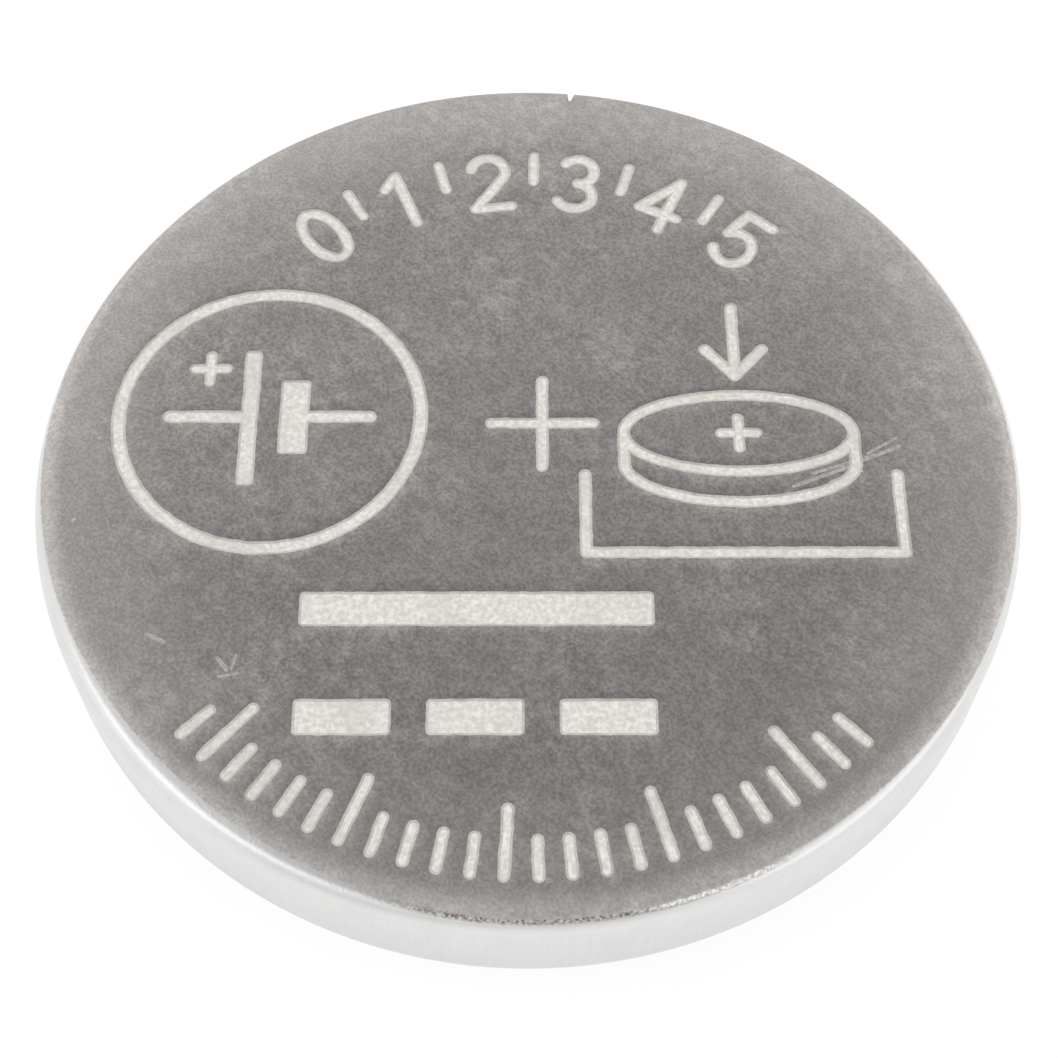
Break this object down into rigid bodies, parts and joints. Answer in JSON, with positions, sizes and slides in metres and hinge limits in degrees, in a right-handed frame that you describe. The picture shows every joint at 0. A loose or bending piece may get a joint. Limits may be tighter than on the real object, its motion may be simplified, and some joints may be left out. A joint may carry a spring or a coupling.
{
  "type": "lithium coin cell",
  "caption": "Round flat lithium coin cell: a drawn steel can rolled over a gasket onto a steel cap, with the pellet, grid, separator and lithium disc inside.",
  "frame": {"origin": "centre of the negative contact face, which the cell rests on", "axes": "+Z along the cell's axis from the negative contact face to the positive face; X and Y are alike on a round cell, and +Y is the top of the marks on the positive face"},
  "size_m": [0.02, 0.02, 0.0032],
  "materials": {
    "can_steel": "nickel-plated, matt from rolling and drawing",
    "cap_steel": "drawn, fine satin",
    "gasket_polypropylene": "moulded, natural milky polypropylene",
    "grid_steel": "expanded mesh, bright cut edges",
    "pellet_oxide": "pressed manganese dioxide and graphite powder",
    "separator_nonwoven": "non-woven polypropylene",
    "lithium_foil": "soft rolled lithium foil"
  },
  "bodies": {
    "root": {"positive_can": "can_steel", "negative_cap": "cap_steel", "sealing_gasket": "gasket_polypropylene", "current_collector": "grid_steel", "cathode_pellet": "pellet_oxide", "separator": "separator_nonwoven", "lithium_anode": "lithium_foil"}
  },
  "joints": []
}
